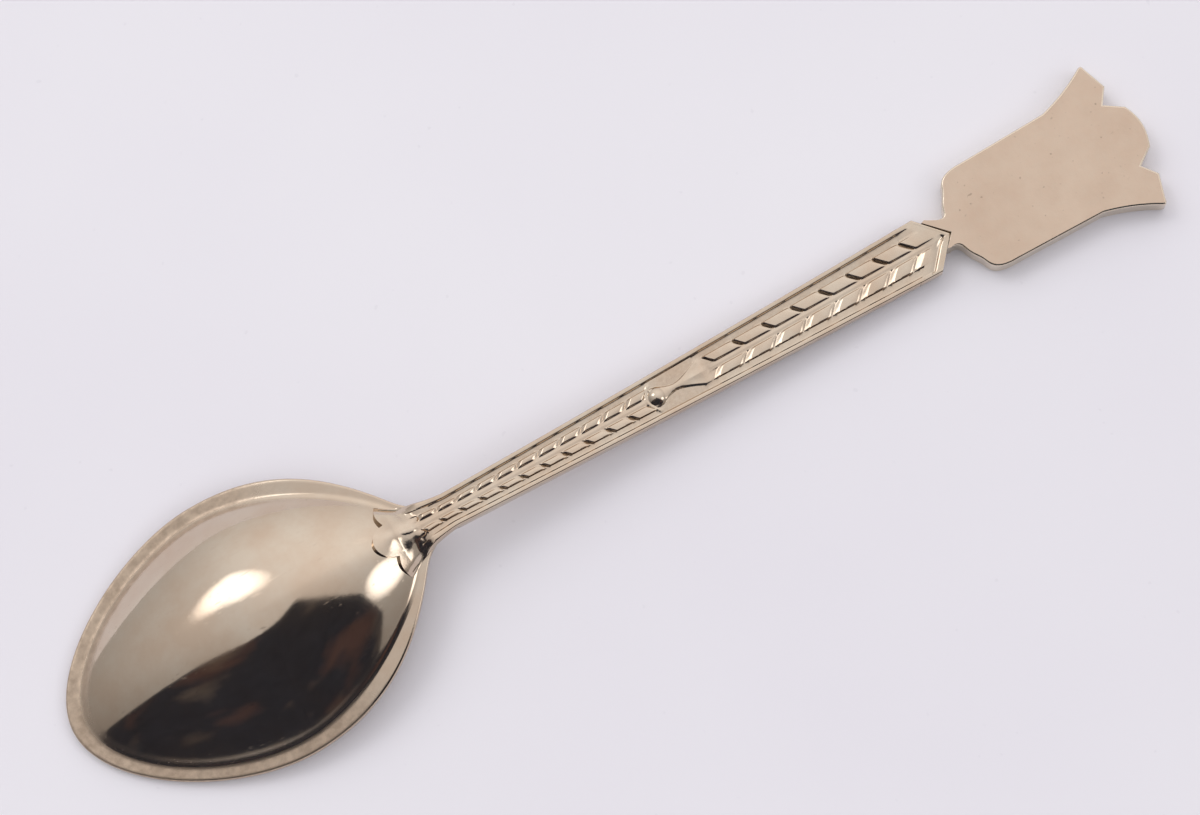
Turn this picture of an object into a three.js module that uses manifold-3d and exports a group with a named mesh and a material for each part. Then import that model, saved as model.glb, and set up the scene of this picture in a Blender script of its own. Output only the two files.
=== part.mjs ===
// A souvenir teaspoon, lying face down: bowl hollow and crest front towards -Z, +X from bowl tip to crown.
// Millimetres, +Z up. Stations (s) run along the spoon from the bowl tip; x = s - LENGTH / 2.
import * as THREE from 'three';
import { mergeVertices } from 'three/addons/utils/BufferGeometryUtils.js';
import Module from 'manifold-3d';

const wasm = await Module();
wasm.setup();

// ---------------------------------------------------------------- driving dimensions
const LENGTH = 117;            // bowl tip to the top of the crown
const SHEET = 0.95;            // thickness of the pressed bowl
const BOWL_HALF_WIDTH = 13.2;
const BOWL_WIDEST = 19.3;      // station of the widest point
const LIP = 1.5;               // width of the flat lip around the dome
const DOME_HEIGHT = 5.8;       // dome above the lip
const DOME_FULLNESS = 0.15;    // 0 is a paraboloid; more makes the sides steeper
const HEEL = 37.5;             // where the dome ends under the handle
const ROOT_END = 40.6;         // end of the bowl's root tab
const ROOT_HALF_WIDTH = 1.5;
const RIM_RISE_START = 3;      // the rim leaves the table here
const RIM_RISE_END = 40;
const RIM_RISE = 3.55;         // rim height over the table at the neck
const RIM_POWER = 2.4;

const SEAM = 0.09;             // play on each side of a solder film
const FILM = 0.08;             // thickness of the heel's solder film
const LAP = FILM + 2 * SEAM;   // room between the bowl's back and the handle's tongue
const HEEL_STEP = 0.42;        // height of the tongue's edge over the bowl's back

const HANDLE_START = 41;       // where the handle's full section starts
const SHOULDER = 93;           // where the handle's gabled end starts
const HANDLE_APEX = 95.6;      // tip of the gable
const NECK_TOP = 5.7;          // back of the handle at the neck
const NECK_STATION = 38.6;
const SPINE_POWER = 1.8;       // how fast the back comes down behind the neck
const HANDLE_THICK_NECK = 1.85;
const HANDLE_THICK_END = 1.5;
const HALF_WIDTH_NECK = 1.75;
const HALF_WIDTH_END = 2.98;

// Two runs of leaf pairs, each with its first foot, its pitch and the growth of the pitch.
const LOWER_RUN = { first: 37.4, pitch: 2, growth: 0.022, lean: 0.95 };
const LOWER_HIDDEN = 2;        // pairs that run out on the tongue and stay flat
const LOWER_FEET = 12;
const UPPER_RUN = { first: 70, pitch: 3.42, growth: -0.036, lean: -0.95 };
const UPPER_FEET = 8;
const LEAF_FRONT = 0.28;       // length of the steep front of each leaf
const LEAF_BACK = 0.4;         // length of its rounded back end
const LEAN_FROM = 0.62;        // rows stop leaning between these shares of the half-width
const LEAN_TO = 0.78;
const BALL = 63.4;             // station of the bud's ball
const BUD_WAIST = [64.6, 65.9];
const BUD_END = 68.6;

const TONGUE_FLANK = [[34.9, 3.8], [36.6, 3], [37.4, 1.95], [HANDLE_START, HALF_WIDTH_NECK]];
const TONGUE_ROWS = 7;
const TONGUE_FULLNESS = 0.8;   // below 1 the tongue's section is fuller than a parabola
const SOLDER_FLANK = [[35.2, 3.4], [36.8, 2.7], [37.5, 1.7], [ROOT_END - 0.1, ROOT_HALF_WIDTH - 0.15]];
const SOLDER_ROWS = 6;
const LOBE_ROWS = 3;           // rows of the tongue that follow its lobed front edge
const LOBE = 1.6;              // reach of the middle lobe
const SIDE_LOBE = 0.25;

const PLATE = 2.2;             // thickness of the crest plate
const CREST = 95.6;            // station of the crest's neck; crest shapes are drawn from here
const FORK_GAP = 0.4;          // from the handle's gable to the crest's forked neck, along the spoon
const EDGE = 0.12;             // broken edge of the plate
const CELL_DEPTH = 0.6;        // depth of the cells in the crest's front
const ENAMEL_TOP = 0.1;        // enamel lies this far below the metal walls
const ENAMEL_BED = 0.06;       // play between enamel and the cell's floor and walls
const WALL = 0.36;             // metal wall between two cells
const SIDE = 4.75;             // half-width of the enamelled field
const SKY_TOP = 13.1;
const PEAKS = [[7.2, -SIDE], [8.9, -2.5], [8, -1], [10.6, 1.6], [7.6, SIDE]];
const SUN = { c: 11.4, y: -2.9, r: 0.95 };
const GEMS = { crest_gem_left: [17.6, 5.3], crest_gem_middle: [18.6, 0], crest_gem_right: [17.6, -5.3] };
const GEM_RADIUS = 0.8;
const PRONG_LEFT = 2.2;        // how far the crest's neck reaches along the gable's two slopes
const PRONG_RIGHT = 1.2;

const GABLE_SLOPE = (HANDLE_APEX - SHOULDER) / HALF_WIDTH_END;

const NICKEL = 0xcbb89b;
const SOLDER = 0x9b917f;

// ---------------------------------------------------------------- small helpers
const point = (s, y, z) => new THREE.Vector3(s - LENGTH / 2, y, z);
const lerp = THREE.MathUtils.lerp;
const smooth = (s, from, to) => THREE.MathUtils.smoothstep(s, from, to);
const span = (from, to, n) => Array.from({ length: n + 1 }, (_, i) => lerp(from, to, i / n));

// n + 1 points on a cubic curve in the (station, half-width) plane, at even steps of t from t0 to t1.
function cubic(corners, n, t0 = 0, t1 = 1) {
  const curve = new THREE.CubicBezierCurve(...corners.map(([s, y]) => new THREE.Vector2(s, y)));
  return Array.from({ length: n + 1 }, (_, i) => curve.getPoint(lerp(t0, t1, i / n)));
}

// Adds the triangles of one quad, leaving out any that has lost an edge.
function quad(out, a, b, c, d) {
  const same = (p, q) => p.distanceToSquared(q) < 1e-10;
  if (!same(a, b) && !same(b, c) && !same(a, c)) out.push(a, b, c);
  if (!same(a, c) && !same(c, d) && !same(a, d)) out.push(a, c, d);
}

function geometryOf(corners) {
  const geometry = new THREE.BufferGeometry().setFromPoints(corners);
  geometry.computeVertexNormals();
  return geometry;
}

// A closed skin over rings of equal length; the first and the last ring are single points.
function ringSkin(rings) {
  const corners = [];
  for (let i = 0; i + 1 < rings.length; i++) {
    const count = rings[i].length;
    for (let j = 0; j < count; j++) {
      const k = (j + 1) % count;
      quad(corners, rings[i][j], rings[i + 1][j], rings[i + 1][k], rings[i][k]);
    }
  }
  return geometryOf(corners);
}

// A closed slab between two grids of points of the same size, top and bottom.
function slab(top, bottom) {
  const corners = [];
  const rows = top.length - 1;
  const columns = top[0].length - 1;
  for (let i = 0; i < rows; i++) {
    for (let j = 0; j < columns; j++) {
      quad(corners, top[i][j], top[i + 1][j], top[i + 1][j + 1], top[i][j + 1]);
      quad(corners, bottom[i][j], bottom[i][j + 1], bottom[i + 1][j + 1], bottom[i + 1][j]);
    }
    quad(corners, bottom[i][0], bottom[i + 1][0], top[i + 1][0], top[i][0]);
    quad(corners, top[i][columns], top[i + 1][columns], bottom[i + 1][columns], bottom[i][columns]);
  }
  for (let j = 0; j < columns; j++) {
    quad(corners, bottom[0][j], top[0][j], top[0][j + 1], bottom[0][j + 1]);
    quad(corners, bottom[rows][j], bottom[rows][j + 1], top[rows][j + 1], top[rows][j]);
  }
  return geometryOf(corners);
}

function solidOf(geometry) {
  const bare = geometry.index ? geometry.toNonIndexed() : geometry.clone();
  bare.deleteAttribute('normal');
  bare.deleteAttribute('uv');
  const merged = mergeVertices(bare, 1e-4);
  return new wasm.Manifold(new wasm.Mesh({
    numProp: 3,
    vertProperties: merged.attributes.position.array,
    triVerts: new Uint32Array(merged.index.array),
  }));
}

function cut(geometry, tools) {
  const solid = tools.reduce((body, tool) => body.subtract(solidOf(tool)), solidOf(geometry));
  const mesh = solid.getMesh();
  const result = new THREE.BufferGeometry();
  result.setAttribute('position', new THREE.BufferAttribute(mesh.vertProperties, 3));
  result.setIndex(new THREE.BufferAttribute(mesh.triVerts, 1));
  return result;
}

function part(name, geometry, colour, roughness, metalness) {
  const material = new THREE.MeshStandardMaterial({ color: colour, roughness, metalness });
  const mesh = new THREE.Mesh(geometry, material);
  mesh.name = name;
  return mesh;
}

// ---------------------------------------------------------------- bowl
// Height of the rim's underside over the table.
function rimHeight(s) {
  const t = THREE.MathUtils.clamp((s - RIM_RISE_START) / (RIM_RISE_END - RIM_RISE_START), 0, 1);
  return RIM_RISE * ((RIM_POWER + 1) * t ** RIM_POWER - RIM_POWER * t ** (RIM_POWER + 1));
}

// Half of the dome's foot, from the tip (t = 0) to the heel; rows 0-12, 12-21, 21-28 and 28-32.
function domeFoot() {
  const tip = [[LIP, 0], [LIP, 5.6], [11.4, BOWL_HALF_WIDTH - LIP], [BOWL_WIDEST, BOWL_HALF_WIDTH - LIP]];
  const heel = [[BOWL_WIDEST, BOWL_HALF_WIDTH - LIP], [27.8, BOWL_HALF_WIDTH - LIP], [HEEL, 3.4], [HEEL, 0]];
  return [
    ...cubic(tip, 12),
    ...cubic(heel, 9, 0, 0.72).slice(1),
    ...cubic(heel, 7, 0.72, 0.93).slice(1),
    ...cubic(heel, 4, 0.93, 1).slice(1),
  ];
}

// Half of the bowl's outline with its root tab, in the same rows.
function bowlOutline() {
  const shoulder = [35.6, 4.9];
  const tip = [[0, 0], [0, 6.5], [11.3, BOWL_HALF_WIDTH], [BOWL_WIDEST, BOWL_HALF_WIDTH]];
  const side = [[BOWL_WIDEST, BOWL_HALF_WIDTH], [27.5, BOWL_HALF_WIDTH], [32, 9.3], shoulder];
  const fillet = [shoulder, [36.9, 3.3], [37.6, ROOT_HALF_WIDTH + 0.3], [ROOT_END, ROOT_HALF_WIDTH]];
  const end = Array.from({ length: 4 }, (_, i) => new THREE.Vector2(ROOT_END, ROOT_HALF_WIDTH * (3 - i) / 4));
  end[3].y = 0;
  return [...cubic(tip, 12), ...cubic(side, 9).slice(1), ...cubic(fillet, 7).slice(1), ...end];
}

const around = (half) => [...half, ...half.slice(1, -1).reverse().map((p) => new THREE.Vector2(p.x, -p.y))];
const DOME_FOOT = around(domeFoot());
const BOWL_OUTLINE = around(bowlOutline());
const DOME_CENTRE = new THREE.Vector2((LIP + HEEL) / 2, 0);

const domeProfile = (rho) => 1 - (1 - DOME_FULLNESS) * rho ** 2 - DOME_FULLNESS * rho ** 4;

// How far (s, y) lies from the dome's centre, as a share of the way to the dome's foot.
function domeShare(s, y) {
  const ray = new THREE.Vector2(s, Math.abs(y)).sub(DOME_CENTRE);
  const half = DOME_FOOT.slice(0, DOME_FOOT.length / 2 + 1).map((p) => p.clone().sub(DOME_CENTRE));
  for (let i = 0; i + 1 < half.length; i++) {
    const a = half[i];
    const b = half[i + 1];
    const before = a.cross(ray);
    const after = ray.cross(b);
    if (before <= 1e-9 && after <= 1e-9) {
      const edge = b.clone().sub(a);
      return ray.cross(edge) / a.cross(edge);
    }
  }
  return 0;
}

// Height of the bowl's back at any place on it.
function bowlBack(s, y) {
  const share = domeShare(s, y);
  return rimHeight(s) + SHEET + (share < 1 ? DOME_HEIGHT * domeProfile(share) : 0);
}

function bowlGeometry() {
  const shares = [0.22, 0.42, 0.58, 0.72, 0.84, 0.93, 1];
  const innerScale = 0.95;
  const ring = (share, scale, sheet) => DOME_FOOT.map((foot) => {
    const p = DOME_CENTRE.clone().lerp(foot, share * scale);
    return point(p.x, p.y, rimHeight(p.x) + sheet + DOME_HEIGHT * domeProfile(share));
  });
  const pole = (sheet) => DOME_FOOT.map(() => (
    point(DOME_CENTRE.x, 0, rimHeight(DOME_CENTRE.x) + sheet + DOME_HEIGHT)
  ));
  const rim = (sheet) => BOWL_OUTLINE.map((p) => point(p.x, p.y, rimHeight(p.x) + sheet));
  const back = shares.map((share) => ring(share, 1, SHEET));
  const front = shares.map((share) => ring(share, innerScale, 0));
  return ringSkin([pole(0), ...front, rim(0), rim(SHEET), ...back.reverse(), pole(SHEET)]);
}

// ---------------------------------------------------------------- handle
// Height of the handle's back along its middle line: a shallow curve that lies flat at the crest.
function spine(s) {
  const t = (s - NECK_STATION) / (SHOULDER - NECK_STATION);
  return PLATE + (NECK_TOP - PLATE) * Math.max(1 - t, 0) ** SPINE_POWER;
}

const handleShare = (s) => (s - HANDLE_START) / (SHOULDER - HANDLE_START);
const handleHalfWidth = (s) => lerp(HALF_WIDTH_NECK, HALF_WIDTH_END, handleShare(s));
const handleThickness = (s) => lerp(HANDLE_THICK_NECK, HANDLE_THICK_END, Math.max(handleShare(s), 0));

// Columns across the handle as shares of its half-width, and the relief of the struck pattern on them:
// stem, stem side, leaf, leaf, leaf side, floor, groove, border and bevel.
const HALF_COLUMNS = [0, 0.13, 0.18, 0.4, 0.6, 0.66, 0.76, 0.86, 1];
const BLANK = [0, 0, 0, 0, 0, 0, 0, 0, 0.4];
const LEAF = [0.1, 0.28, 0.06, 0.02, 0.08, 0.3, 0.3, 0, 0.4];
const LEAF_ROOT = [0.1, 0.28, 0.26, 0.24, 0.27, 0.3, 0.3, 0, 0.4];
const BUD = [0, 0.05, 0.08, 0.2, 0.3, 0.3, 0.3, 0, 0.4];
const STEM = [0.05, 0.1, 0.28, 0.3, 0.3, 0.3, 0.3, 0, 0.4];
const COLUMNS = [...HALF_COLUMNS.slice(1).reverse().map((v) => -v), ...HALF_COLUMNS];
const mirrored = (half) => [...half.slice(1).reverse(), ...half];

// A row leans into a chevron between the borders and is straight outside them.
const chevron = (share, halfWidth, lean) => {
  const reach = Math.abs(share);
  const fade = 1 - THREE.MathUtils.clamp((reach - LEAN_FROM) / (LEAN_TO - LEAN_FROM), 0, 1);
  return lean * reach * halfWidth * fade;
};

// One row of the handle where it has its full section: [top points, bottom points].
function handleRow(s, relief, lean) {
  const halfWidth = handleHalfWidth(s);
  const depth = mirrored(relief);
  const place = (share) => s + chevron(share, halfWidth, lean);
  const top = COLUMNS.map((share, j) => {
    const station = place(share);
    return point(station, share * halfWidth, spine(station) - depth[j]);
  });
  const bottom = COLUMNS.map((share, j) => {
    const station = place(share);
    return point(station, share * halfWidth, spine(station) - handleThickness(station) + depth[j]);
  });
  return [top, bottom];
}

const foot = (run, k) => run.first + run.pitch * k + run.growth * k ** 2;

// The leaf pairs from one foot of a run to another: each leaf is a low pillow with a steep front.
function leafRows(run, firstFoot, lastFoot) {
  const rows = [];
  for (let k = firstFoot; k < lastFoot; k++) {
    rows.push(handleRow(foot(run, k), LEAF_ROOT, run.lean));
    rows.push(handleRow(foot(run, k) + LEAF_FRONT, LEAF, run.lean));
    rows.push(handleRow(foot(run, k + 1) - LEAF_BACK, LEAF, run.lean));
  }
  rows.push(handleRow(foot(run, lastFoot), LEAF_ROOT, run.lean));
  return rows;
}

// The gabled end: a row whose stations run along the gable's two slopes.
function gableRow(setBack) {
  const place = (share) => HANDLE_APEX - setBack - GABLE_SLOPE * Math.abs(share) * HALF_WIDTH_END;
  const depth = mirrored(BLANK);
  const width = (share) => share * HALF_WIDTH_END;
  const top = COLUMNS.map((share, j) => point(place(share), width(share), spine(place(share)) - depth[j]));
  const bottom = COLUMNS.map((share, j) => (
    point(place(share), width(share), spine(place(share)) - HANDLE_THICK_END + depth[j])
  ));
  return [top, bottom];
}

// Front edge of the tongue on the bowl's back: a round middle lobe between two flatter ones.
function bracket(share) {
  const corner = HALF_COLUMNS[3];
  const reach = Math.abs(share);
  const lobe = LOBE * Math.sqrt(Math.max(1 - (reach / corner) ** 2, 0));
  const side = SIDE_LOBE * Math.sin(Math.PI * (1 - Math.max(reach, corner)) / (1 - corner));
  return side + lobe;
}

// The tongue that laps the bowl's back: its rows run from the bracket edge to the full section.
function tongueRows() {
  return cubic(TONGUE_FLANK, TONGUE_ROWS).map((edge, i) => {
    const lean = Math.max(1 - i / LOBE_ROWS, 0);
    const grid = COLUMNS.map((share) => [edge.x - lean * bracket(share), share * edge.y, share]);
    const toHandle = i / TONGUE_ROWS;
    const top = grid.map(([s, y, share]) => {
      const crest = Math.max(spine(s) - bowlBack(s, 0) - HEEL_STEP, 0) * smooth(s, 34, 36);
      const lap = bowlBack(s, y) + HEEL_STEP + crest * (1 - share ** 2) ** TONGUE_FULLNESS;
      const full = spine(s) - (Math.abs(share) === 1 ? BLANK[8] : 0);
      return point(s, y, lerp(lap, full, toHandle ** 2));
    });
    const bottom = grid.map(([s, y]) => point(s, y, bowlBack(s, y) + LAP));
    return [top, bottom];
  });
}

function handleGeometry() {
  const rows = [
    ...tongueRows(),
    handleRow(HANDLE_START + 0.02, BLANK, 0),
    handleRow(HANDLE_START + 0.2, BLANK, 0),
    ...leafRows(LOWER_RUN, LOWER_HIDDEN, LOWER_FEET - 1),
    handleRow(BALL - 0.7, BUD, 0.6),
    handleRow(BALL + 0.6, BUD, 0.4),
    handleRow(BUD_WAIST[0], STEM, 0.3),
    handleRow(BUD_WAIST[1], STEM, -0.3),
    handleRow(BUD_END, BUD, -0.6),
    ...leafRows(UPPER_RUN, 0, UPPER_FEET - 1),
    gableRow(0.5),
    gableRow(0.25),
    gableRow(0),
  ];
  return slab(rows.map(([top]) => top), rows.map(([, bottom]) => bottom));
}

// The film of solder between the bowl's back and the tongue, drawn in from the tongue's edge.
function heelSolderGeometry() {
  const rows = cubic(SOLDER_FLANK, SOLDER_ROWS).map((edge, i) => {
    const lean = Math.max(1 - i / LOBE_ROWS, 0);
    return COLUMNS.map((share) => [edge.x - lean * bracket(share), share * edge.y]);
  });
  const sheet = (lift) => rows.map((row) => row.map(([s, y]) => point(s, y, bowlBack(s, y) + lift)));
  return slab(sheet(SEAM + FILM), sheet(SEAM));
}

// ---------------------------------------------------------------- crest
// Crest outlines are drawn as (distance from the crest's neck, distance from the middle line).
const toShape = (points) => new THREE.Shape(points.map(([c, y]) => new THREE.Vector2(c, y)));

function extrude(shape, from, to) {
  const settings = { depth: to - from, bevelEnabled: false, curveSegments: 10 };
  const geometry = new THREE.ExtrudeGeometry(shape, settings);
  geometry.translate(CREST - LENGTH / 2, 0, from);
  return geometry;
}

// Shield and crown in one outline, from the forked neck round one side and back along the other.
function crestOutline() {
  const fork = HANDLE_APEX - CREST + FORK_GAP;
  const half = (side) => {
    const path = new THREE.Path();
    const prong = side > 0 ? PRONG_LEFT : PRONG_RIGHT;
    path.moveTo(fork - GABLE_SLOPE * prong, side * prong);
    path.lineTo(fork + 0.35 - GABLE_SLOPE * prong, side * (prong + 0.1));
    path.quadraticCurveTo(0.2, side * 1.15, 0.45, side * 2);
    path.bezierCurveTo(0.7, side * 3, 1.2, side * 3.3, 1.5, side * 4.1);
    path.bezierCurveTo(1.7, side * 5, 2.3, side * 5.4, 3.7, side * 5.45);
    path.lineTo(13.6, side * 5.65);
    path.quadraticCurveTo(16.5, side * 6.4, 18.9, side * 7.85);
    path.quadraticCurveTo(19.3, side * 8, 19.35, side * 7.6);
    path.lineTo(20.2, side * 5);
    path.lineTo(19.1, side * 3.5);
    path.lineTo(20.85, side * 2.3);
    path.quadraticCurveTo(21.4, side * 1.1, 21.4, 0);
    return path.getPoints(5).map((p) => [p.x, p.y]);
  };
  const upper = half(1);
  const lower = half(-1).reverse().slice(1);
  return toShape([[fork, 0], ...upper, ...lower]);
}

const meadowLine = (y) => 5.6 + 0.9 * Math.cos(y * 0.34);

function circle(c, y, radius, sides = 24) {
  return toShape(span(0, Math.PI * 2, sides).slice(1).map((turn) => (
    [c + radius * Math.cos(turn), y + radius * Math.sin(turn)]
  )));
}

// The cells of the front, each drawn smaller by the play asked for.
function meadowCell(play) {
  const side = SIDE - play;
  const base = new THREE.CubicBezierCurve(
    new THREE.Vector2(3.7, side), new THREE.Vector2(2.1 + play, side),
    new THREE.Vector2(1.7 + play, 2.6), new THREE.Vector2(1.6 + play, 0),
  ).getPoints(6).map((p) => [p.x, p.y]);
  const top = span(-side, side, 8).map((y) => [meadowLine(y) - play, y]);
  const mirror = base.slice(0, -1).reverse().map(([c, y]) => [c, -y]);
  return toShape([...top, ...base, ...mirror]);
}

function peaksCell(play) {
  const side = SIDE - play;
  const base = span(side, -side, 8).map((y) => [meadowLine(y) + WALL + play, y]);
  const top = PEAKS.map(([c, y]) => [c - play, THREE.MathUtils.clamp(y, -side, side)]);
  return toShape([...top, ...base]);
}

function skyCell(play) {
  const side = SIDE - play;
  const base = PEAKS.map(([c, y]) => [c + WALL * 1.3 + play, THREE.MathUtils.clamp(y, -side, side)]);
  const shape = toShape([...base, [SKY_TOP - play, side], [SKY_TOP - play, -side]]);
  shape.holes.push(circle(SUN.c, SUN.y, SUN.r + WALL + play));
  return shape;
}

const roundCell = (c, y, radius) => (play) => circle(c, y, radius - play);

const bandCell = (play) => toShape([
  [14.6 + play, 5 - play], [14.6 + play, -5 + play], [16 - play, -5.3 + play], [16 - play, 5.3 - play],
]);

const CELLS = {
  enamel_meadow: [meadowCell, 0x2f7a45],
  enamel_peaks: [peaksCell, 0xe9e6dc],
  enamel_sky: [skyCell, 0x2c5fa8],
  enamel_sun: [roundCell(SUN.c, SUN.y, SUN.r), 0xe0b23a],
  enamel_crown_band: [bandCell, 0xa3242c],
};
for (const [name, [c, y]] of Object.entries(GEMS)) CELLS[name] = [roundCell(c, y, GEM_RADIUS), 0xa3242c];

function crestPlateGeometry() {
  const plate = new THREE.ExtrudeGeometry(crestOutline(), {
    depth: PLATE - 2 * EDGE, bevelEnabled: true, bevelThickness: EDGE, bevelSize: EDGE, bevelOffset: -EDGE,
    bevelSegments: 1, curveSegments: 6,
  });
  plate.translate(CREST - LENGTH / 2, 0, EDGE);
  return cut(plate, Object.values(CELLS).map(([cell]) => extrude(cell(0), -1, CELL_DEPTH)));
}

// The solder seam between the handle's gable and the crest's forked neck.
function crestSolderGeometry() {
  const reach = 1;
  const fall = reach * GABLE_SLOPE;
  const near = HANDLE_APEX - CREST + SEAM;
  const far = near + FORK_GAP - 2 * SEAM;
  const outline = [
    [near, 0], [near - fall, -reach], [far - fall, -reach],
    [far, 0], [far - fall, reach], [near - fall, reach],
  ];
  return extrude(toShape(outline), HANDLE_THICK_END - 0.6, PLATE - 0.3);
}

// ---------------------------------------------------------------- assembly
const spoon = new THREE.Group();
spoon.add(part('bowl', bowlGeometry(), NICKEL, 0.08, 1));
spoon.add(part('handle', handleGeometry(), NICKEL, 0.2, 1));
spoon.add(part('heel_solder', heelSolderGeometry(), SOLDER, 0.4, 1));
spoon.add(part('crest_plate', crestPlateGeometry(), NICKEL, 0.4, 1));
spoon.add(part('crest_solder', crestSolderGeometry(), SOLDER, 0.4, 1));
for (const [name, [cell, colour]] of Object.entries(CELLS)) {
  const floor = CELL_DEPTH - ENAMEL_BED;
  spoon.add(part(name, extrude(cell(ENAMEL_BED), ENAMEL_TOP, floor), colour, 0.15, 0));
}

export default spoon;
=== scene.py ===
"""Looks of a souvenir teaspoon that lies face down on a pale table.

Shapes are drawn in millimetres on stations (s) that run from the bowl's tip to the top of the crown,
with y across and z up; mesh_piece() moves them into the shared frame, in metres.
"""
import math

import bmesh
import bpy
import numpy as np
from mathutils import Matrix, Vector


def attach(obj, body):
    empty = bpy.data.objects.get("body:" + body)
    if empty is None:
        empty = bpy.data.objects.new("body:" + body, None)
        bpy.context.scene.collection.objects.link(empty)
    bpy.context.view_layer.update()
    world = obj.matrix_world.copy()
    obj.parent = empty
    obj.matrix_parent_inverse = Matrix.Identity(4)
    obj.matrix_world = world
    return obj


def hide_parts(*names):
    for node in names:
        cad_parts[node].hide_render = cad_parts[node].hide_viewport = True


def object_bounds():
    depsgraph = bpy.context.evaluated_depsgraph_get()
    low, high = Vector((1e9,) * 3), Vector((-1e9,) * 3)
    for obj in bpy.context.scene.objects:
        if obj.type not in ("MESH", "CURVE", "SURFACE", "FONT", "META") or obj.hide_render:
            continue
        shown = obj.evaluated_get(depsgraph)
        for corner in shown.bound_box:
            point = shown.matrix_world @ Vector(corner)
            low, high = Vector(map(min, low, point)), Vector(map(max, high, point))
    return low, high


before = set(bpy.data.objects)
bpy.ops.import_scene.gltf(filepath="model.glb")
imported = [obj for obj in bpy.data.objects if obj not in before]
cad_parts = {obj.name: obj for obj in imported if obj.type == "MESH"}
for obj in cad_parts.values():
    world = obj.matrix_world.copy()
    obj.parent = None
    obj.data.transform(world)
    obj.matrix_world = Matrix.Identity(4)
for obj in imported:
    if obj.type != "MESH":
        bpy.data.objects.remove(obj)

CAD_LOW, CAD_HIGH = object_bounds()
MM = 0.001
LENGTH = (CAD_HIGH.x - CAD_LOW.x) / MM

# ---------------------------------------------------------------- driving dimensions, in millimetres
SHEET = 0.95                   # thickness of the pressed bowl
BOWL_HALF_WIDTH = 13.2
BOWL_WIDEST = 19.3             # station of the widest point
LIP = 1.5                      # width of the flat lip around the dome
DOME_HEIGHT = 5.78             # a hair under the plain model's, which is faceted
DOME_FULLNESS = 0.15
HEEL = 37.5                    # where the dome ends under the handle
ROOT_END = 40.6
ROOT_HALF_WIDTH = 1.5
INNER_SCALE = 0.95             # foot of the hollow, as a share of the dome's foot
FILLET = 0.4                   # half-width of the soft crease between dome and lip
INNER_FILLET = 0.03            # height of the same crease on the inside
RIM_RISE_START = 3
RIM_RISE_END = 40
RIM_RISE = 3.55
RIM_POWER = 2.4
HEEL_STEP = 0.42               # height of the tongue's front edge over the bowl's back
SUNK = 0.12                    # how far the tongue's underside reaches into the bowl's back
KNUCKLE = 0.34                 # swelling of the tongue before the first leaves, and its place
KNUCKLE_AT = (35.3, 0.4)

HANDLE_START = 41
SHOULDER = 93.0                # where the handle's gabled end starts
HANDLE_APEX = 95.6
PLATE = 2.2                    # thickness of the crest plate
NECK_TOP = 5.7
NECK_STATION = 38.6
SPINE_POWER = 1.8              # how fast the handle falls from its neck
HANDLE_THICK_NECK = 1.85
HANDLE_THICK_END = 1.5
HALF_WIDTH_NECK = 1.75
HALF_WIDTH_END = 2.98
GABLE_SLOPE = (HANDLE_APEX - SHOULDER) / HALF_WIDTH_END

LOWER_RUN = (37.4, 2.0, 0.022)     # first leaf foot, pitch, growth of the pitch
LOWER_FEET = 12
LOWER_LEAN = 0.95              # the pairs between heel and bud point at the bowl
UPPER_RUN = (70.0, 3.42, -0.036)
UPPER_FEET = 8
UPPER_LEAN = -0.95             # and those behind the bud at the crest
LOWER_FRONT = (0.45, 0.15)     # length of the leaves' fronts; how much longer it is at +Y, and shorter at -Y
UPPER_FRONT = (0.55, -0.3)
LEAF_BACK = 0.62               # length of its falling back end
LEAF_FLOOR = 0.25              # depth of the struck ground
FIRST_LEAF = (36.7, 0.05)      # middle of the small bud that the first pair grows from
FIRST_LEAF_HEIGHT = 0.08
TONGUE_FLANK = [[34.9, 3.85], [36.2, 3.1], [37.4, 2.05], [HANDLE_START, HALF_WIDTH_NECK]]
LOBE = 1.65                    # reach of the tongue's middle lobe, and of the flatter ones beside it
SIDE_LOBE = 0.3
LOBE_CORNER = 0.42             # share of the half-width where they meet
BUD_START = 61.75
BUD_END = 69.3
BALL = 63.4                    # station of the bud's ball
BALL_RADIUS = 0.95
WAIST = 65.3                   # narrowest place of the bell behind it
BELL = [                       # stations along the bell and its half-width there
    (62.9, 1.05), (63.3, 1.0), (63.8, 0.85), (64.3, 0.6), (64.8, 0.42), (WAIST, 0.34),
    (65.9, 0.42), (66.6, 0.66), (67.3, 0.95), (68.0, 1.3), (68.6, 1.42), (69.0, 1.3),
]
GABLE_RIM = [                  # distance from the gable's edge, and depth of its border there
    (0.0, 0.3), (0.04, 0.12), (0.12, 0.05), (0.25, 0.02), (0.55, 0.04), (0.6, 0.1), (0.65, 0.17),
    (0.7, 0.21), (0.75, 0.22), (0.82, 0.2), (0.95, 0.14), (1.35, 0.05), (1.6, 0.04),
]

CREST = 95.6                   # crest shapes are drawn from this station
FORK_GAP = 0.03                # the seam between gable and crest, after soldering
CELL_DEPTH = 0.6               # of the enamel's cells in the crest's front
ENAMEL_TOP = 0.1               # how far the enamel lies below the crest's front
ENAMEL_BED = 0.06              # gap between the enamel and its cell
CREST_ROUND = 0.2              # rounding of the crest plate's edges
WALL = 0.36                    # metal between two fields of enamel
SKY_TOP = 13.1                 # this and the next ones are counted from the crest's station
SIDE = 4.75                    # half-width of the picture
PEAKS = [[7.2, -SIDE], [8.9, -2.5], [8, -1], [10.6, 1.6], [7.6, SIDE]]
SUN = (11.4, -2.9, 0.95)       # station, y and radius
GEMS = {"left": (17.6, 5.3), "middle": (18.6, 0.0), "right": (17.6, -5.3)}
GEM_RADIUS = 0.8
ENAMEL_STEPS = [(0.04, 0.035), (0.06, 0.03), (0.07, 0.015)]     # width and dip of each step of its front


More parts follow.
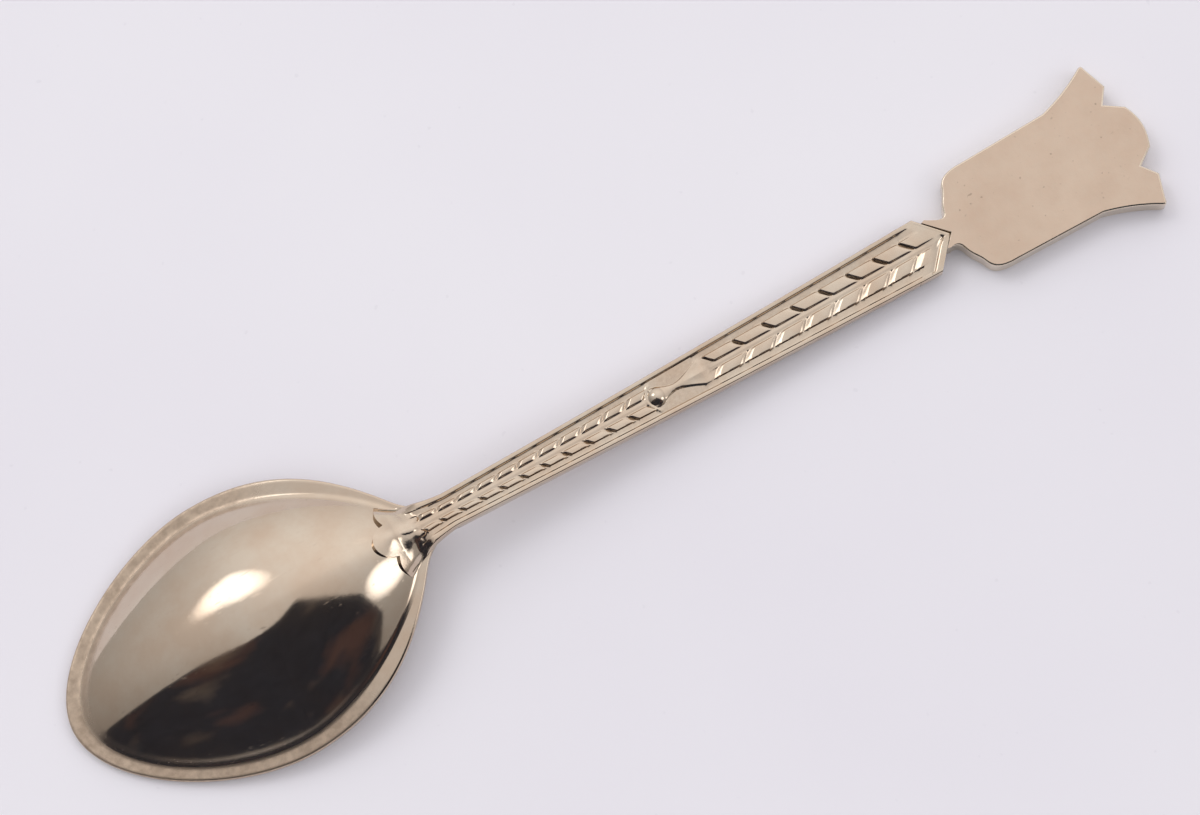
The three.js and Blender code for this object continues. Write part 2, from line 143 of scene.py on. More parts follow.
def lerp(a, b, t):
    return a + (b - a) * t


def ease(t):
    return t * t * (3 - 2 * t)


def smooth(x, start, end):
    return ease(np.clip((np.asarray(x, float) - start) / (end - start), 0, 1))


def cubic(corners, count, start=0.0, end=1.0):
    """count + 1 points on a cubic curve, at even steps of its parameter."""
    t = np.linspace(start, end, count + 1)[:, None]
    a, b, c, d = np.array(corners, float)
    return (1 - t) ** 3 * a + 3 * (1 - t) ** 2 * t * b + 3 * (1 - t) * t * t * c + t ** 3 * d


def quadratic(corners, count):
    t = np.linspace(0, 1, count + 1)[:, None]
    a, b, c = np.array(corners, float)
    return (1 - t) ** 2 * a + 2 * (1 - t) * t * b + t * t * c


def frame_point(s, y, z):
    """A place in the shared frame, in metres, from a station, y and z in millimetres."""
    return ((s - LENGTH / 2) * MM, y * MM, z * MM)


def new_object(name, data):
    thing = bpy.data.objects.new(name, data)
    bpy.context.scene.collection.objects.link(thing)
    return thing


# ---------------------------------------------------------------- meshes
MERGE_DISTANCE = 2e-7          # m; rings that close on a pole or an edge share their points


def mesh_piece(name, points, faces, material, smooth_angle=40, **attributes):
    """A new object from points in (station, y, z) millimetres; attributes are one number for each point."""
    points = np.asarray(points, float)
    mesh = bpy.data.meshes.new(name)
    place = (points - [LENGTH / 2, 0, 0]) * MM
    mesh.from_pydata(place.tolist(), [], faces)
    for key, values in attributes.items():
        layer = mesh.attributes.new(key, "FLOAT", "POINT")
        layer.data.foreach_set("value", np.asarray(values, np.float32))
    clean = bmesh.new()
    clean.from_mesh(mesh)
    bmesh.ops.remove_doubles(clean, verts=clean.verts, dist=MERGE_DISTANCE)
    bmesh.ops.recalc_face_normals(clean, faces=clean.faces)
    clean.to_mesh(mesh)
    clean.free()
    return finish_mesh(name, mesh, material, smooth_angle)


def finish_mesh(name, mesh, material, smooth_angle):
    piece = new_object(name, mesh)
    mesh.materials.clear()
    mesh.materials.append(material)
    mesh.shade_smooth()
    mesh.set_sharp_from_angle(angle=math.radians(smooth_angle))
    return piece


def loop_faces(rows, columns):
    """Quads over rows of closed loops that each have the same number of points."""
    faces = []
    for i in range(rows - 1):
        for j in range(columns):
            k = (j + 1) % columns
            faces.append((i * columns + j, i * columns + k, (i + 1) * columns + k, (i + 1) * columns + j))
    return faces


# ---------------------------------------------------------------- bowl
FINE = 4                       # steps of the bowl's outline for each step of the plain model's
CREASE_MATT = 0.35             # how matt the crease and the lip's edge are; the lip itself is 1
EDGE_MATT = 0.8


def rim_height(s):
    t = np.clip((s - RIM_RISE_START) / (RIM_RISE_END - RIM_RISE_START), 0, 1)
    return RIM_RISE * ((RIM_POWER + 1) * t ** RIM_POWER - RIM_POWER * t ** (RIM_POWER + 1))


def dome_foot():
    reach = BOWL_HALF_WIDTH - LIP
    tip = [[LIP, 0], [LIP, 5.6], [11.4, reach], [BOWL_WIDEST, reach]]
    heel = [[BOWL_WIDEST, reach], [27.8, reach], [HEEL, 3.4], [HEEL, 0]]
    return np.vstack([
        cubic(tip, 12 * FINE),
        cubic(heel, 9 * FINE, 0, 0.72)[1:],
        cubic(heel, 7 * FINE, 0.72, 0.93)[1:],
        cubic(heel, 4 * FINE, 0.93, 1)[1:],
    ])


def bowl_outline():
    shoulder = [35.6, 4.9]
    tip = [[0, 0], [0, 6.5], [11.3, BOWL_HALF_WIDTH], [BOWL_WIDEST, BOWL_HALF_WIDTH]]
    side = [[BOWL_WIDEST, BOWL_HALF_WIDTH], [27.5, BOWL_HALF_WIDTH], [32, 9.3], shoulder]
    fillet = [shoulder, [36.9, 3.3], [37.6, ROOT_HALF_WIDTH + 0.3], [ROOT_END, ROOT_HALF_WIDTH]]
    end_y = np.linspace(ROOT_HALF_WIDTH, 0, 4 * FINE + 1)[1:]
    end = np.column_stack([np.full(len(end_y), ROOT_END), end_y])
    return np.vstack([cubic(tip, 12 * FINE), cubic(side, 9 * FINE)[1:], cubic(fillet, 7 * FINE)[1:], end])


def around(half):
    return np.vstack([half, half[-2:0:-1] * [1, -1]])


DOME_CENTRE = np.array([(LIP + HEEL) / 2, 0])
FOOT_HALF = dome_foot()
FOOT_ANGLE = np.arctan2(FOOT_HALF[:, 1], FOOT_HALF[:, 0] - DOME_CENTRE[0])[::-1]
FOOT_REACH = np.hypot(FOOT_HALF[:, 1], FOOT_HALF[:, 0] - DOME_CENTRE[0])[::-1]


def dome_profile(share):
    return 1 - (1 - DOME_FULLNESS) * share ** 2 - DOME_FULLNESS * share ** 4


def bowl_back(s, y):
    """Height of the bowl's back at any place on it."""
    away = np.hypot(s - DOME_CENTRE[0], y)
    foot = np.interp(np.arctan2(np.abs(y), s - DOME_CENTRE[0]), FOOT_ANGLE, FOOT_REACH)
    share = away / foot
    slope = DOME_HEIGHT * (2 + 2 * DOME_FULLNESS) / foot
    near = np.maximum(FILLET - np.abs(away - foot), 0)
    fillet = slope * near ** 2 / (4 * FILLET)
    return rim_height(s) + SHEET + DOME_HEIGHT * np.maximum(dome_profile(np.minimum(share, 1)), 0) + fillet


def make_bowl(material):
    foot = around(dome_foot())
    outline = around(bowl_outline())
    count = len(foot)
    shares = np.concatenate([np.linspace(0.03, 0.9, 30), np.linspace(0.92, 0.97, 5), [0.98, 0.987, 0.994]])
    lip_steps = [0.06, 0.12, 0.19, 0.26, 0.38, 0.5, 0.62, 0.74, 0.86]
    edge_steps = [(0.93, 0.035), (0.975, 0.12), (0.995, 0.24), (1.0, 0.4)]

    def dome_ring(share, scale, lift):
        p = DOME_CENTRE + (foot - DOME_CENTRE) * share * scale
        if scale == 1:
            return np.column_stack([p, bowl_back(p[:, 0], p[:, 1])])
        return np.column_stack([p, rim_height(p[:, 0]) + lift + DOME_HEIGHT * dome_profile(share)])

    def lip_ring(share, scale, lift):
        inner = DOME_CENTRE + (foot - DOME_CENTRE) * scale
        p = lerp(inner, outline, share)
        if scale == 1:
            return np.column_stack([p, bowl_back(p[:, 0], p[:, 1]) + lift - SHEET])
        return np.column_stack([p, rim_height(p[:, 0]) + lift])

    # The matt finish spreads onto the dome's foot, and runs out where the bowl rises to the handle.
    worn = lerp(0.3, 0.8, smooth(foot[:, 1], -3, 5))
    lip_fade = 1 - 0.9 * smooth(outline[:, 0], 23, 30)
    rings, lip = [], []

    def add(ring, matt):
        rings.append(ring)
        lip.append(np.full(count, matt) * lip_fade)

    pole = np.array([[DOME_CENTRE[0], 0, rim_height(DOME_CENTRE[0]) + SHEET + DOME_HEIGHT]])
    add(np.repeat(pole, count, 0), 0)
    for share in shares:
        add(dome_ring(share, 1, SHEET), worn * float(smooth(share, 0.93, 0.965)))
    add(lip_ring(0.0, 1, SHEET), CREASE_MATT)
    for share in lip_steps:
        add(lip_ring(share, 1, SHEET), 1)
    for share, drop in edge_steps:
        add(lip_ring(share, 1, SHEET - drop), EDGE_MATT)
    for share, drop in reversed(edge_steps):
        add(lip_ring(share, INNER_SCALE, drop), EDGE_MATT)
    for share in reversed(lip_steps):
        add(lip_ring(share, INNER_SCALE, 0), 1)
    add(lip_ring(0.0, INNER_SCALE, INNER_FILLET), CREASE_MATT)
    for share in shares[::-1]:
        add(dome_ring(share, INNER_SCALE, 0), 0)
    add(np.repeat(pole - [0, 0, SHEET], count, 0), 0)
    faces = loop_faces(len(rings), count)
    return mesh_piece("bowl_shell", np.vstack(rings), faces, material, 75, lip=np.concatenate(lip))


# ---------------------------------------------------------------- handle
def spine(s):
    t = (s - NECK_STATION) / (SHOULDER - NECK_STATION)
    return PLATE + (NECK_TOP - PLATE) * np.maximum(1 - t, 0) ** SPINE_POWER


def handle_share(s):
    return (s - HANDLE_START) / (SHOULDER - HANDLE_START)


FLANK = cubic(TONGUE_FLANK, 120)


def half_width(s):
    """Half-width of the handle, with the tongue's flank before its full section starts."""
    s = np.asarray(s, float)
    full = lerp(HALF_WIDTH_NECK, HALF_WIDTH_END, handle_share(s))
    return np.where(s < HANDLE_START, np.interp(s, FLANK[:, 0], FLANK[:, 1]), full)


def thickness(s):
    return lerp(HANDLE_THICK_NECK, HANDLE_THICK_END, np.maximum(handle_share(s), 0))


def leaf_edge(s):
    return 0.88 + 0.0172 * (np.asarray(s, float) - 46)


# Columns across half of the handle. Each feature of the section has its place (y) and a number of steps
# that lead to the next one: middle, stem's edge, leaf, leaf's edge, leaf's foot, border's foot, border,
# border's shoulder and the side.
STEPS = [4, 4, 12, 3, 3, 4, 3, 5]
WALLS = (1, 3, 5)              # steps whose slope is rounded at both ends
BORDER = 6
SHOULDERED = 7
ROUND_SIDE = 0.34              # fall of the rounded side


def feature_places(s):
    width = half_width(s)
    scale = width / half_width(np.maximum(s, HANDLE_START))
    leaf = leaf_edge(s) * scale
    return np.array([
        0 * width, 0.26 * scale, 0.44 * scale, leaf - 0.12, leaf, width - 0.6 * scale,
        width - 0.44 * scale, width - 0.16, width,
    ])


def feature_axis():
    """The place of each column as a feature number plus a fraction."""
    axis = [i + np.arange(n) / n for i, n in enumerate(STEPS)]
    return np.append(np.concatenate(axis), len(STEPS))


AXIS = feature_axis()
SIDES = np.concatenate([-np.ones(len(AXIS) - 1), np.ones(len(AXIS))])
COLUMN_AXIS = np.concatenate([AXIS[:0:-1], AXIS])
FEATURES = np.arange(len(STEPS) + 1)


def across(values):
    """Values given at the features, for every column, with rounded walls."""
    whole = np.minimum(np.floor(COLUMN_AXIS).astype(int), len(STEPS) - 1)
    t = COLUMN_AXIS - whole
    values = np.asarray(values, float)
    return lerp(values[whole], values[whole + 1], np.where(np.isin(whole, WALLS), ease(t), t))


def section_depth(leaf):
    """Depth of the struck pattern below the spine, for every column, with the leaf's top at a given depth."""
    depth = across([0.15, 0.18, leaf + 0.01, leaf, LEAF_FLOOR, LEAF_FLOOR - 0.03, 0.05, 0.04, 0.3])
    crown = np.sin(np.pi * np.clip(COLUMN_AXIS - 2, 0, 1))
    depth -= 0.1 * (LEAF_FLOOR - leaf) * crown
    middle = np.clip(1 - COLUMN_AXIS, 0, 1)
    depth = np.maximum(depth, (leaf - 0.12) * middle ** 0.5)
    t = np.clip(COLUMN_AXIS - SHOULDERED, 0, 1)
    rounded = 0.04 + ROUND_SIDE * (1 - np.sqrt(1 - t ** 2))
    return np.where(COLUMN_AXIS > SHOULDERED, rounded, depth)


IN_BORDER = COLUMN_AXIS > BORDER - 1


def bud_depth(s, y):
    """Depth of the ball, the bracket that holds it and the bell behind it."""
    reach = np.abs(y)
    depth = np.full(s.shape, LEAF_FLOOR)
    bracket_line = 62.3 + 0.45 * reach ** 1.6
    bracket = np.clip(1 - np.abs(s - bracket_line) / 0.26, 0, 1) * (reach < 1.35)
    depth -= 0.1 * np.sqrt(bracket)
    bell_half = np.interp(s, *np.array(BELL).T)
    share = np.clip(reach / bell_half, 0, 1.3)
    inside = smooth(1.12 - share, 0, 0.3)
    flute = 0.04 + 0.07 * np.sin(np.pi * np.clip(share, 0, 1)) * smooth(s, WAIST + 0.6, 67.8)
    bell = lerp(LEAF_FLOOR + 0.05, flute + 0.1 * share ** 2, inside)
    end = smooth(s, 68.2, 68.9)
    bell = lerp(bell, LEAF_FLOOR, end)
    depth = np.where(s > BELL[0][0], np.minimum(depth, bell), depth)
    ball = 1 - ((s - BALL) ** 2 + y ** 2) / BALL_RADIUS ** 2
    return np.minimum(depth, np.where(ball > 0, LEAF_FLOOR - 0.48 * np.maximum(ball, 0) ** 0.8, 1))


def leaf_rows(run, count, lean, fronts):
    """One run of leaves, low pillows with sloping fronts: rows (station, lean, leaf depth, skew) and feet."""
    first, pitch, growth = run
    length, skew = fronts
    feet = [first + pitch * k + growth * k * k for k in range(count)]
    front = [(0.0, LEAF_FLOOR), (0.2, 0.2), (0.4, 0.14), (0.6, 0.09), (0.8, 0.04), (1.0, 0.0)]
    back = [(0.0, 0.05), (0.25, 0.07), (0.5, 0.12), (0.75, 0.18), (0.92, 0.23)]
    rows = []
    for start, following in zip(feet[:-1], feet[1:]):
        top = start + length + 0.1
        fall = following - LEAF_BACK
        rows += [(start + length * share, lean, leaf, skew * share) for share, leaf in front]
        for share in (0.0, 0.25, 0.5, 0.75):
            rows.append((lerp(top, fall, share), lean, lerp(-0.01, 0.05, share), skew * (1 - share)))
        rows += [(fall + LEAF_BACK * share, lean, leaf, 0.0) for share, leaf in back]
    rows.append((feet[-1], lean, LEAF_FLOOR, 0.0))
    return rows, feet


def tongue_bracket(share):
    """The tongue's front edge: a round middle lobe between two flatter ones."""
    middle = LOBE * np.sqrt(np.maximum(1 - (share / LOBE_CORNER) ** 2, 0))
    side = SIDE_LOBE * np.sin(np.pi * (1 - np.maximum(share, LOBE_CORNER)) / (1 - LOBE_CORNER))
    return middle + side


def handle_rows():
    """(station, lean, leaf depth, skew) for the whole handle behind the tongue's lobes."""
    lower, _ = leaf_rows(LOWER_RUN, LOWER_FEET, LOWER_LEAN, LOWER_FRONT)
    rows = [row for row in lower if row[0] < BUD_START]
    for s in np.arange(BUD_START, BUD_END, 0.08):
        rows.append((s, lerp(LOWER_LEAN, UPPER_LEAN, float(smooth(s, 62.3, 68.4))), None, 0.0))
    upper, feet = leaf_rows(UPPER_RUN, UPPER_FEET, UPPER_LEAN, UPPER_FRONT)
    for share, leaf in ((0.35, 0.17), (0.7, 0.09), (1.0, 0.04), (1.2, 0.03), (1.8, 0.04)):
        upper.append((feet[-1] + UPPER_FRONT[0] * share, UPPER_LEAN, leaf, UPPER_FRONT[1] * share))
    return rows + upper


def tongue_height(s, y):
    """The tongue swells from the bowl's back to the handle's; only its front edge stands proud."""
    swell = np.maximum(spine(s) - bowl_back(s, 0 * s) - HEEL_STEP, 0) * smooth(s, 33.8, 36.6)
    knuckle = KNUCKLE * np.exp(-(s - KNUCKLE_AT[0]) ** 2 - (y - KNUCKLE_AT[1]) ** 2)
    inside = half_width(np.maximum(s, TONGUE_FLANK[0][0])) - np.abs(y)
    bell = smooth(inside, 0, 2.3)
    step = HEEL_STEP * smooth(inside, 0, 0.8)
    return bowl_back(s, y) + step + swell * bell + knuckle


def make_handle(material):
    tops, bottoms, recesses = [], [], []
    side = SIDES
    reach_share = np.interp(COLUMN_AXIS, FEATURES, feature_places(HANDLE_START) / HALF_WIDTH_NECK)

    def add(s, y, depth):
        struck = np.where(IN_BORDER, smooth(s, 37.8, 40.2), smooth(s, 36.9, 37.7))
        shown = np.where(COLUMN_AXIS > SHOULDERED, depth, depth * struck)
        along = s - FIRST_LEAF[0] - 0.9 * (0.1 - y)
        leaf_bud = 1 - (along / 0.8) ** 2 - ((y - FIRST_LEAF[1]) / 0.3) ** 2
        tongue = tongue_height(s, y) - shown * smooth(s, 36.9, 38)
        z = lerp(tongue, spine(s) - shown, smooth(s, 36.6, 38.6))
        z = z + FIRST_LEAF_HEIGHT * np.maximum(leaf_bud, 0) ** 0.35
        under = np.where(s < HANDLE_START, bowl_back(s, y) - SUNK, -9)
        front = spine(s) - thickness(s) + shown
        z_bottom = lerp(np.maximum(under, front), front, smooth(s, HANDLE_START - 0.4, HANDLE_START + 0.3))
        z_bottom = np.minimum(z_bottom, z - 0.03)
        tops.append(np.column_stack([s, y, z]))
        bottoms.append(np.column_stack([s, y, z_bottom]))
        recesses.append(np.clip((shown - 0.12) / 0.15, 0, 1) * (COLUMN_AXIS < SHOULDERED))

    # The tongue: rows that follow the lobed front edge and straighten, then lean, towards the first leaves.
    first_foot = LOWER_RUN[0]
    for t in np.linspace(0, 1, 121):
        station, width = cubic(TONGUE_FLANK, 1, t, t)[0]
        if station > first_foot - 0.1:
            break
        lobe = max(1 - t * 2.2, 0)
        lean = LOWER_LEAN * float(smooth(station, 35.6, first_foot - 0.1))
        leant = station + lean * np.minimum(reach_share * width, leaf_edge(station))
        width = half_width(np.maximum(leant, TONGUE_FLANK[0][0]))
        add(leant - lobe * tongue_bracket(reach_share), side * reach_share * width, section_depth(0.1))

    for station, lean, leaf, skew in handle_rows():
        edge = float(leaf_edge(station))
        places = feature_places(station + lean * edge)
        reach = np.interp(COLUMN_AXIS, FEATURES, places)
        s = station + lean * np.minimum(reach, edge) + skew * side * smooth(reach, 0, 0.3)
        if station < HANDLE_START:
            reach = reach / places[-1] * half_width(s)
        y = side * reach
        if leaf is None:
            fade = smooth(s, 61.9, 62.4) * (1 - smooth(s, 68.9, 69.6))
            plain = section_depth(LEAF_FLOOR)
            depth = np.where(IN_BORDER, plain, lerp(plain, bud_depth(s, y), fade))
        else:
            depth = section_depth(leaf)
        add(s, y, depth)

    # The gabled end: the border turns along both slopes; its right arm is the wider one.
    stops, falls = np.array(GABLE_RIM).T
    for back in (1.6, 1.35, 1.1, 0.95, 0.82, 0.75, 0.7, 0.65, 0.6, 0.55, 0.4, 0.25, 0.12, 0.04, 0.0):
        places = feature_places(SHOULDER - 0.9 * back)
        reach = np.interp(COLUMN_AXIS, FEATURES, places)
        y = side * reach
        s = HANDLE_APEX - back * lerp(0.85, 1.5, smooth(-y, -0.6, 0.8)) - GABLE_SLOPE * reach
        rim = float(np.interp(back, stops, falls))
        rim = lerp(0.04, rim, smooth(-y if back > 0.3 else y, -0.4, 0.2))
        inner = np.where(COLUMN_AXIS > BORDER, section_depth(LEAF_FLOOR), rim)
        depth = np.maximum(inner, rim) if back < 0.25 else inner
        depth = np.where(COLUMN_AXIS > BORDER, depth, np.minimum(depth, np.where(IN_BORDER, 0.24, 1)))
        add(s, y, depth)

    rows = len(tops)
    columns = len(side)
    loops = [np.vstack([top, bottom[::-1]]) for top, bottom in zip(tops, bottoms)]
    faces = loop_faces(rows, 2 * columns)
    last = (rows - 1) * 2 * columns
    for j in range(columns - 1):
        a, b = j, j + 1
        c, d = 2 * columns - 1 - j, 2 * columns - 2 - j
        faces.append((a, c, d, b))
        faces.append((last + a, last + b, last + d, last + c))
    recess = np.concatenate([np.concatenate([r, r[::-1]]) for r in recesses])
    return mesh_piece("handle_struck", np.vstack(loops), faces, material, 50, recess=recess)


# ---------------------------------------------------------------- crest
def crest_outline():
    """Outline of shield and crown as (station, y), all the way round."""
    fork = HANDLE_APEX - CREST + FORK_GAP

    def half(side):
        prong = 2.2 if side > 0 else 1.2
        path = [
            [[fork - GABLE_SLOPE * prong, prong]],
            quadratic([[fork + 0.35 - GABLE_SLOPE * prong, prong + 0.1], [0.2, 1.15], [0.45, 2]], 8),
            cubic([[0.45, 2], [0.7, 3], [1.2, 3.3], [1.5, 4.1]], 8)[1:],
            cubic([[1.5, 4.1], [1.8, 5.1], [2.6, 5.5], [4.4, 5.45]], 10)[1:],
            [[13.6, 5.65]],
            quadratic([[13.6, 5.65], [16.5, 6.4], [18.9, 7.85]], 8)[1:],
            quadratic([[18.9, 7.85], [19.35, 8.05], [19.4, 7.5]], 4)[1:],
            [[20.2, 5], [19.1, 3.5], [20.85, 2.3]],
            quadratic([[20.85, 2.3], [21.4, 1.1], [21.4, 0]], 8)[1:],
        ]
        return np.vstack(path) * [1, side]

    upper = half(1)
    lower = half(-1)[-2::-1]
    outline = np.vstack([[[fork, 0]], upper, lower]) + [CREST, 0]
    return outline[np.hypot(*(outline - np.roll(outline, 1, axis=0)).T) > 0.001]


def meadow_line(y):
    return 5.6 + 0.9 * np.cos(y * 0.34)


def circle(c, y, radius, sides=48):
    turn = np.linspace(0, 2 * math.pi, sides, endpoint=False)
    return np.column_stack([c + radius * np.cos(turn), y + radius * np.sin(turn)])


def meadow_cell(play):
    side = SIDE - play
    base = cubic([[3.7, side], [2.1 + play, side], [1.7 + play, 2.6], [1.6 + play, 0]], 12)
    across = np.linspace(-side, side, 25)
    top = np.column_stack([meadow_line(across) - play, across])
    return np.vstack([top, base, base[-2::-1] * [1, -1]])


def peaks_cell(play):
    side = SIDE - play
    across = np.linspace(side, -side, 25)
    base = np.column_stack([meadow_line(across) + WALL + play, across])
    top = np.array([[c - play, np.clip(y, -side, side)] for c, y in PEAKS])
    return np.vstack([top, base])


def sky_cell(play):
    """The sky with a round island for the sun: two outlines that meet along two bridges."""
    side = SIDE - play
    outer = [[c + WALL * 1.3 + play, np.clip(y, -side, side)] for c, y in PEAKS]
    outer = np.array(outer + [[SKY_TOP - play, side], [SKY_TOP - play, -side]])
    island = circle(SUN[0], SUN[1], SUN[2] + WALL + play)
    upper = np.vstack([outer[1:], island[42:], island[:25]])
    lower = np.vstack([outer[[6, 0, 1]], island[24:43]])
    return [upper, lower]


def band_cell(play):
    return np.array([
        [14.6 + play, 5 - play], [14.6 + play, -5 + play], [16 - play, -5.3 + play], [16 - play, 5.3 - play],
    ])


def prism(low, high, *outlines):
    """A bmesh slab with these (station, y) outlines between two heights; outlines may share corners."""
    solid = bmesh.new()
    corners = {}
    faces = []
    for outline in outlines:
        loop = []
        for s, y in outline:
            key = (round(s, 5), round(y, 5))
            if key not in corners:
                corners[key] = solid.verts.new(frame_point(s, y, low))
            loop.append(corners[key])
        faces.append(solid.faces.new(loop))
    top = bmesh.ops.extrude_face_region(solid, geom=faces)["geom"]
    lifted = [v for v in top if isinstance(v, bmesh.types.BMVert)]
    bmesh.ops.translate(solid, verts=lifted, vec=(0, 0, (high - low) * MM))
    bmesh.ops.recalc_face_normals(solid, faces=solid.faces)
    return solid


def inset(outline, distance):
    """The crest's outline moved inwards, except where it meets the handle."""
    before = outline - np.roll(outline, 1, axis=0)
    after = np.roll(outline, -1, axis=0) - outline
    following = np.roll(outline, -1, axis=0)
    turned = np.sign(np.sum(outline[:, 0] * following[:, 1] - outline[:, 1] * following[:, 0]))

    def inwards(edge):
        return np.column_stack([-edge[:, 1], edge[:, 0]]) / np.hypot(edge[:, 0], edge[:, 1])[:, None] * turned

    before, after = inwards(before), inwards(after)
    free = smooth(outline[:, 0] - CREST, -0.8, 0.4)
    share = distance * free / np.maximum(1 + np.sum(before * after, axis=1), 0.5)
    return outline + (before + after) * share[:, None]


def round_edges(solid, outline):
    """Replace the slab's sides and top by rings that round both edges, from its lower outline upwards."""
    def place(ring, height):
        return [Vector(frame_point(s, y, height)) for s, y in ring]

    low = []
    for point in place(outline, 0):
        low.append(min(solid.verts, key=lambda v: (v.co - point).length_squared))
    top = [v for v in solid.verts if v.co.z > (PLATE - CREST_ROUND) * MM]
    bmesh.ops.delete(solid, geom=top, context="VERTS")
    for vert, point in zip(low, place(inset(outline, CREST_ROUND), 0)):
        vert.co = point
    rings = []
    for turn in np.radians([0, 22.5, 45, 67.5, 90]):
        rings.append((inset(outline, CREST_ROUND * (1 - math.sin(turn))), CREST_ROUND * (1 - math.cos(turn))))
    rings += [(ring, PLATE - height) for ring, height in rings[::-1]]
    loops = [low] + [[solid.verts.new(point) for point in place(*ring)] for ring in rings[1:]]
    count = len(outline)
    for below, above in zip(loops[:-1], loops[1:]):
        for i in range(count):
            j = (i + 1) % count
            solid.faces.new((below[i], below[j], above[j], above[i]))
    solid.faces.new(loops[-1])
    bmesh.ops.recalc_face_normals(solid, faces=solid.faces)


def temporary(name, solid):
    mesh = bpy.data.meshes.new(name)
    solid.to_mesh(mesh)
    solid.free()
    return new_object(name, mesh)


def cut(body, tool):
    modifier = body.modifiers.new("cut", "BOOLEAN")
    modifier.operation = "DIFFERENCE"
    modifier.solver = "EXACT"
    modifier.object = tool
    graph = bpy.context.evaluated_depsgraph_get()
    mesh = bpy.data.meshes.new_from_object(body.evaluated_get(graph))
    body.modifiers.clear()
    body.data = mesh
    bpy.data.objects.remove(tool)


def placed(outlines):
    """Outlines drawn from the crest's station, as outlines drawn from the bowl's tip."""
    return [outline + [CREST, 0] for outline in outlines]


def crest_cells():
    """Every cell in the crest's front but the sky's."""
    cells = [meadow_cell(0), peaks_cell(0), band_cell(0)]
    cells += [circle(c, y, GEM_RADIUS) for c, y in GEMS.values()]
    return placed(cells + [circle(*SUN)])


def make_crest(material):
    crest = temporary("crest_blank", prism(0, PLATE, crest_outline()))
    cut(crest, temporary("cells", prism(-1, CELL_DEPTH, *crest_cells())))
    cut(crest, temporary("sky", prism(-1, CELL_DEPTH, *placed(sky_cell(0)))))
    solid = bmesh.new()
    solid.from_mesh(crest.data)
    round_edges(solid, crest_outline())
    solid.to_mesh(crest.data)
    solid.free()
    # Mask of the rounded edges: the crest's material lifts their colour as a painted highlight and makes them
    # smoother as polished wear.
    height = np.array([v.co.z / MM for v in crest.data.vertices])
    near = np.minimum(height, PLATE - height)
    edge = crest.data.attributes.new("edge", "FLOAT", "POINT")
    edge.data.foreach_set("value", ((near > 0.01) & (near < CREST_ROUND + 0.01)).astype(np.float32))
    piece = finish_mesh("crest_back_plate", crest.data, material, 50)
    bpy.data.objects.remove(crest)
    weighted = piece.modifiers.new("weighted", "WEIGHTED_NORMAL")
    weighted.keep_sharp = True
    return piece


def make_enamel(name, outlines, material):
    """A poured field of enamel: flat against its cell's floor, with a front that dips in the middle."""
    work = prism(ENAMEL_TOP, CELL_DEPTH - ENAMEL_BED, *placed(outlines))
    work.normal_update()
    front = [f for f in work.faces if f.normal.z < -0.9]
    for width, dip in ENAMEL_STEPS:
        bmesh.ops.inset_region(work, faces=front, thickness=width * MM, depth=-dip * MM, use_even_offset=True)
    field = bpy.data.meshes.new(name + "_blank")
    work.to_mesh(field)
    work.free()
    return finish_mesh(name, field, material, 60)


# ---------------------------------------------------------------- materials
class Look:
    """One procedural material, with short calls for the nodes that it uses."""

    def __init__(self, name):
        self.material = bpy.data.materials.new(name)
        self.material.use_nodes = True
        self.nodes = self.material.node_tree.nodes
        self.links = self.material.node_tree.links
        self.shader = self.nodes["Principled BSDF"]
        self.place = self.nodes.new("ShaderNodeTexCoord").outputs["Object"]

    def wire(self, value, socket):
        if isinstance(value, bpy.types.NodeSocket):
            self.links.new(value, socket)
        else:
            socket.default_value = value

    def math(self, operation, a, b=0.0, clamp=False):
        node = self.nodes.new("ShaderNodeMath")
        node.operation = operation
        node.use_clamp = clamp
        self.wire(a, node.inputs[0])
        self.wire(b, node.inputs[1])
        return node.outputs[0]

    def stretched(self, scale, turn=0.0):
        node = self.nodes.new("ShaderNodeMapping")
        self.wire(self.place, node.inputs["Vector"])
        node.inputs["Scale"].default_value = scale
        node.inputs["Rotation"].default_value = (0, 0, math.radians(turn))
        return node.outputs[0]

    def noise(self, scale, detail=3.0, roughness=0.55, vector=None):
        node = self.nodes.new("ShaderNodeTexNoise")
        self.wire(vector or self.place, node.inputs["Vector"])
        node.inputs["Scale"].default_value = scale
        node.inputs["Detail"].default_value = detail
        node.inputs["Roughness"].default_value = roughness
        return node.outputs["Fac"]

    def span(self, value, low, high, to_low=0.0, to_high=1.0):
        node = self.nodes.new("ShaderNodeMapRange")
        self.wire(value, node.inputs["Value"])
        for key, number in (("From Min", low), ("From Max", high), ("To Min", to_low), ("To Max", to_high)):
            self.wire(number, node.inputs[key])
        return node.outputs[0]

    def mix(self, share, a, b):
        node = self.nodes.new("ShaderNodeMix")
        node.data_type = "RGBA"
        self.wire(share, node.inputs["Factor"])
        colour_a, colour_b = [s for s in node.inputs if s.type == "RGBA"][:2]
        self.wire(a, colour_a)
        self.wire(b, colour_b)
        return [s for s in node.outputs if s.type == "RGBA"][0]

    def attribute(self, name):
        node = self.nodes.new("ShaderNodeAttribute")
        node.attribute_name = name
        return node.outputs["Fac"]

    def bump(self, height, strength, distance, below=None):
        node = self.nodes.new("ShaderNodeBump")
        node.inputs["Strength"].default_value = strength
        node.inputs["Distance"].default_value = distance
        self.wire(height, node.inputs["Height"])
        if below is not None:
            self.wire(below, node.inputs["Normal"])
        return node.outputs[0]

    def set(self, **sockets):
        for key, value in sockets.items():
            self.wire(value, self.shader.inputs[key.replace("_", " ").title()])


def rgb(red, green, blue):
    """A linear colour from one given in the usual 0-255 values."""
    def linear(v):
        v /= 255
        return v / 12.92 if v <= 0.04045 else ((v + 0.055) / 1.055) ** 2.4
    return (linear(red), linear(green), linear(blue), 1.0)


